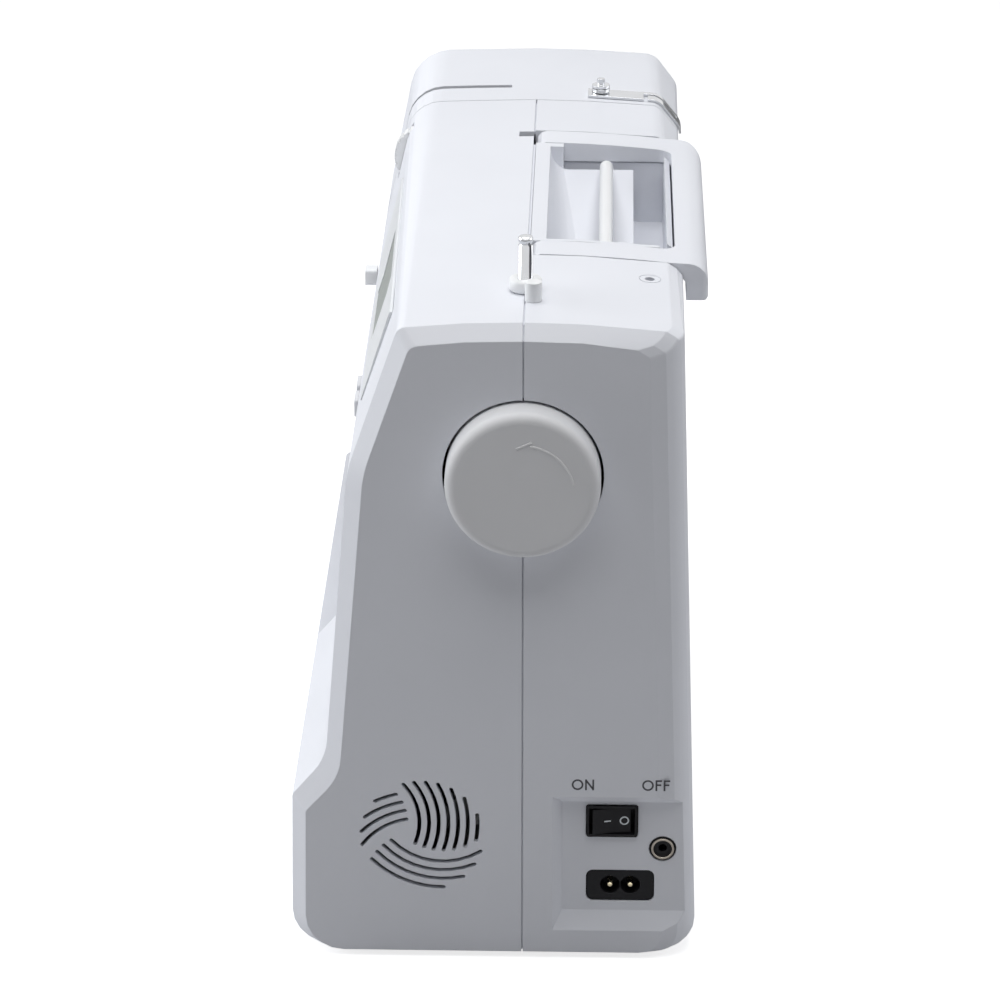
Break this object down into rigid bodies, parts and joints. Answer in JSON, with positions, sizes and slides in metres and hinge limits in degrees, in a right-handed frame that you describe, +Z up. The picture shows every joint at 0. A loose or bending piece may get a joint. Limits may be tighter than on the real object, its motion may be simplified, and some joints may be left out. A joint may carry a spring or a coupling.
{
  "type": "sewing machine",
  "caption": "Electronic free-arm sewing machine with a white moulded body, fold-down carry handle, handwheel, vent, power recess and a full stitching drive inside.",
  "frame": {"origin": "centre of the whole machine's bounding box, on the plane the feet stand on", "axes": "+X towards the handwheel end, +Y to the rear of the machine, +Z up"},
  "size_m": [0.407, 0.1742, 0.3106],
  "materials": {
    "abs_shell": "satin moulded",
    "wheel_plastic": "matte moulded",
    "white_plastic": "gloss",
    "button_plastic": "satin",
    "panel_plastic": "gloss",
    "grey_plastic": "satin",
    "black_plastic": "satin",
    "clear_plastic": "clear",
    "display_glass": "gloss",
    "lamp_plastic": "satin",
    "feet_rubber": "matte",
    "belt_rubber": "matte",
    "steel": "machined",
    "plate_steel": "brushed",
    "chrome": "polished",
    "cast_alloy": "cast",
    "motor_steel": "satin",
    "bronze": "machined",
    "board": "satin"
  },
  "bodies": {
    "machine": {"front_cover": "abs_shell", "rear_cover": "abs_shell", "face_cover": "abs_shell", "base_cover": "abs_shell", "rubber_feet": "feet_rubber", "cover_screws": "steel", "free_arm_cover": "abs_shell", "needle_plate": "plate_steel", "main_frame": "cast_alloy", "shaft_bushes": "bronze", "spool_tray": "abs_shell", "handle_pins": "steel", "winder_stop": "white_plastic", "thread_guide": "chrome", "drive_belts": "belt_rubber", "motor": "motor_steel", "bobbin_case": "black_plastic", "presser_spring": "steel", "tension_discs": "chrome", "control_panel": "panel_plastic", "display": "display_glass", "control_board": "board", "led_lamp": "lamp_plastic", "power_module": "black_plastic", "pedal_jack": "black_plastic"},
    "main_drive": {"handwheel": "wheel_plastic", "main_shaft": "steel", "needle_crank": "cast_alloy"},
    "motor_rotor": {"motor_pulley": "steel"},
    "lower_drive": {"lower_shaft": "steel"},
    "hook": {"rotary_hook": "chrome"},
    "bobbin": {"bobbin": "clear_plastic"},
    "bobbin_cover": {"bobbin_cover": "clear_plastic"},
    "feed_bar": {"feed_bar": "cast_alloy"},
    "feed_dog": {"feed_dog": "steel"},
    "needle_gate": {"needle_gate": "cast_alloy"},
    "needle_bar": {"needle_bar": "chrome", "needle_clamp": "chrome", "needle": "chrome"},
    "connecting_rod": {"connecting_rod": "cast_alloy"},
    "take_up_lever": {"take_up_lever": "chrome"},
    "presser_bar": {"presser_bar": "chrome"},
    "presser_foot": {"presser_foot": "chrome"},
    "presser_lever": {"presser_lever": "grey_plastic"},
    "needle_threader": {"needle_threader": "white_plastic"},
    "buttonhole_lever": {"buttonhole_lever": "white_plastic"},
    "carry_handle": {"carry_handle": "abs_shell"},
    "spool_pin": {"spool_pin": "white_plastic"},
    "winder_slide": {"winder_slide": "grey_plastic"},
    "winder_spindle": {"winder_spindle": "chrome"},
    "tension_dial": {"tension_dial": "white_plastic"},
    "speed_slider": {"speed_slider": "white_plastic"},
    "start_button": {"start_button": "button_plastic"},
    "reverse_button": {"reverse_button": "button_plastic"},
    "needle_button": {"needle_button": "button_plastic"},
    "next_key": {"next_key": "button_plastic"},
    "back_key": {"back_key": "button_plastic"},
    "rocker_switch": {"rocker_switch": "black_plastic"},
    "accessory_box": {"accessory_box": "abs_shell"},
    "accessory_lid": {"accessory_lid": "abs_shell"}
  },
  "joints": [
    {"name": "handwheel_turn", "type": "hinge", "parent": "machine", "child": "main_drive", "pos_m": [0.1905, 0.01106, 0.2228], "axis": [1, 0, 0], "continuous": true},
    {"name": "motor_turn", "type": "hinge", "parent": "machine", "child": "motor_rotor", "pos_m": [0.1905, -0.03294, 0.121], "axis": [1, 0, 0], "continuous": true},
    {"name": "lower_shaft_turn", "type": "hinge", "parent": "machine", "child": "lower_drive", "pos_m": [0.1905, -0.00894, 0.037], "axis": [1, 0, 0], "continuous": true},
    {"name": "hook_turn", "type": "hinge", "parent": "machine", "child": "hook", "pos_m": [-0.1415, -0.00894, 0.053], "axis": [0, 0, 1], "continuous": true},
    {"name": "bobbin_turn", "type": "hinge", "parent": "machine", "child": "bobbin", "pos_m": [-0.1415, -0.00894, 0.063], "axis": [0, 0, 1], "continuous": true},
    {"name": "bobbin_cover_hinge", "type": "hinge", "parent": "machine", "child": "bobbin_cover", "pos_m": [-0.1415, -0.02869, 0.07305], "axis": [1, 0, 0], "range_deg": [0, 110]},
    {"name": "feed_lift", "type": "slide", "parent": "machine", "child": "feed_bar", "axis": [0, 0, 1], "range_m": [-0.0022, 0.0012]},
    {"name": "feed_travel", "type": "slide", "parent": "feed_bar", "child": "feed_dog", "axis": [0, 1, 0], "range_m": [-0.0025, 0.0025]},
    {"name": "zigzag_swing", "type": "hinge", "parent": "machine", "child": "needle_gate", "pos_m": [-0.1495, 0.01106, 0.259], "axis": [0, 1, 0], "range_deg": [-1.08, 1.08]},
    {"name": "needle_stroke", "type": "slide", "parent": "needle_gate", "child": "needle_bar", "axis": [0, 0, 1], "range_m": [-0.03, 0]},
    {"name": "connecting_rod_swing", "type": "hinge", "parent": "needle_bar", "child": "connecting_rod", "pos_m": [-0.1305, 0.01106, 0.2108], "axis": [1, 0, 0], "range_deg": [-33, 33]},
    {"name": "take_up_swing", "type": "hinge", "parent": "machine", "child": "take_up_lever", "pos_m": [-0.1335, 0.03306, 0.243], "axis": [1, 0, 0], "range_deg": [0, 38]},
    {"name": "presser_lever_turn", "type": "hinge", "parent": "machine", "child": "presser_lever", "pos_m": [-0.1355, 0.04906, 0.155], "axis": [0, 1, 0], "range_deg": [-1, 61]},
    {"name": "presser_lift", "type": "slide", "parent": "machine", "child": "presser_bar", "axis": [0, 0, 1], "range_m": [-0.0055, 0], "deforming": ["presser_spring"]},
    {"name": "foot_tilt", "type": "hinge", "parent": "presser_bar", "child": "presser_foot", "pos_m": [-0.1415, 0.01726, 0.0845], "axis": [-1, 0, 0], "range_deg": [0, 15]},
    {"name": "threader_press", "type": "slide", "parent": "machine", "child": "needle_threader", "axis": [0, 0, 1], "range_m": [-0.045, 0], "stiffness_N_per_m": 4, "springref_m": 0.02},
    {"name": "buttonhole_lever_pull", "type": "slide", "parent": "machine", "child": "buttonhole_lever", "axis": [0, 0, 1], "range_m": [-0.04, 0]},
    {"name": "handle_lift", "type": "hinge", "parent": "machine", "child": "carry_handle", "pos_m": [0.0185, 0.01656, 0.2825], "axis": [1, 0, 0], "range_deg": [0, 90]},
    {"name": "spool_pin_lift", "type": "hinge", "parent": "machine", "child": "spool_pin", "pos_m": [0.0795, 0.04386, 0.28], "axis": [0, 1, 0], "range_deg": [0, 40]},
    {"name": "winder_shift", "type": "slide", "parent": "machine", "child": "winder_slide", "axis": [1, 0, 0], "range_m": [-0.004, 0]},
    {"name": "winder_turn", "type": "hinge", "parent": "winder_slide", "child": "winder_spindle", "pos_m": [0.1466, 0.01106, 0.283], "axis": [0, 0, 1], "continuous": true},
    {"name": "tension_turn", "type": "hinge", "parent": "machine", "child": "tension_dial", "pos_m": [-0.0965, -0.0408, 0.265], "axis": [1, 0, 0], "range_deg": [-140, 140]},
    {"name": "speed_slide", "type": "slide", "parent": "machine", "child": "speed_slider", "axis": [1, 0, 0], "range_m": [-0.013, 0.013]},
    {"name": "start_button_press", "type": "slide", "parent": "machine", "child": "start_button", "axis": [0, 1, 0], "range_m": [0, 0.001], "stiffness_N_per_m": 600},
    {"name": "reverse_button_press", "type": "slide", "parent": "machine", "child": "reverse_button", "axis": [0, 1, 0], "range_m": [0, 0.001], "stiffness_N_per_m": 600},
    {"name": "needle_button_press", "type": "slide", "parent": "machine", "child": "needle_button", "axis": [0, 1, 0], "range_m": [0, 0.001], "stiffness_N_per_m": 600},
    {"name": "next_key_press", "type": "slide", "parent": "machine", "child": "next_key", "axis": [0, 1, 0], "range_m": [0, 0.001], "stiffness_N_per_m": 600},
    {"name": "back_key_press", "type": "slide", "parent": "machine", "child": "back_key", "axis": [0, 1, 0], "range_m": [0, 0.001], "stiffness_N_per_m": 600},
    {"name": "switch_rock", "type": "hinge", "parent": "machine", "child": "rocker_switch", "pos_m": [0.1845, 0.04886, 0.0641], "axis": [0, 0, 1], "range_deg": [-18, 0]},
    {"name": "accessory_box_pull", "type": "slide", "parent": "machine", "child": "accessory_box", "axis": [-1, 0, 0], "range_m": [0, 0.215]},
    {"name": "accessory_lid_hinge", "type": "hinge", "parent": "accessory_box", "child": "accessory_lid", "pos_m": [-0.0865, -0.08544, 0.017], "axis": [1, 0, 0], "range_deg": [0, 75]}
  ],
  "couplings": [
    {"joint": "motor_turn", "follows": "handwheel_turn", "ratio": 4.1429},
    {"joint": "lower_shaft_turn", "follows": "handwheel_turn", "ratio": 1},
    {"joint": "hook_turn", "follows": "handwheel_turn", "ratio": -2},
    {"joint": "presser_lever_turn", "follows": "presser_lift", "rad_per_m": -190.4}
  ]
}
